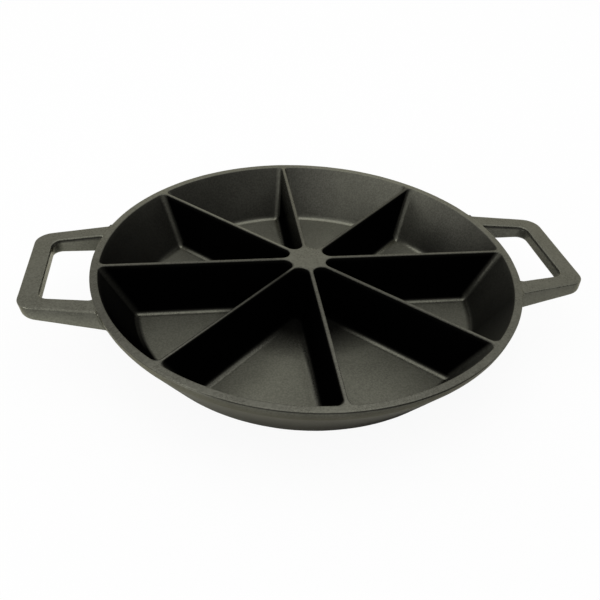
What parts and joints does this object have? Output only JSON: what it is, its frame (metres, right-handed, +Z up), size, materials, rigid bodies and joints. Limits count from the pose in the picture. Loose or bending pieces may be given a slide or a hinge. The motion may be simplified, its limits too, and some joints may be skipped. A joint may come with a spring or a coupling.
{
  "type": "wedge cornbread skillet",
  "caption": "Round cast-iron baking pan with flaring sides, parted into wedge pockets by radial dividers that meet in a hub, with flat loop handles level with its rim.",
  "frame": {"origin": "centre of the flat underside, on the ground under the hub", "axes": "+X out through the middle of the right-hand handle as pictured, +Y away from the side that faces the viewer, +Z up out of the pockets"},
  "size_m": [0.3904, 0.3046, 0.045],
  "materials": {
    "floor_iron": "seasoned sand-cast iron, satin, fine pebbled grain",
    "wall_iron": "seasoned sand-cast iron, satin, fine pebbled grain",
    "hub_iron": "seasoned sand-cast iron, satin, fine pebbled grain",
    "divider_iron": "seasoned sand-cast iron, satin, fine pebbled grain",
    "handle_iron": "seasoned sand-cast iron, satin, fine pebbled grain"
  },
  "bodies": {
    "root": {"pan_floor": "floor_iron", "side_wall": "wall_iron", "centre_hub": "hub_iron", "divider_right": "divider_iron", "divider_back_right": "divider_iron", "divider_back": "divider_iron", "divider_back_left": "divider_iron", "divider_left": "divider_iron", "divider_front_left": "divider_iron", "divider_front": "divider_iron", "divider_front_right": "divider_iron", "handle_right": "handle_iron", "handle_left": "handle_iron"}
  },
  "joints": []
}
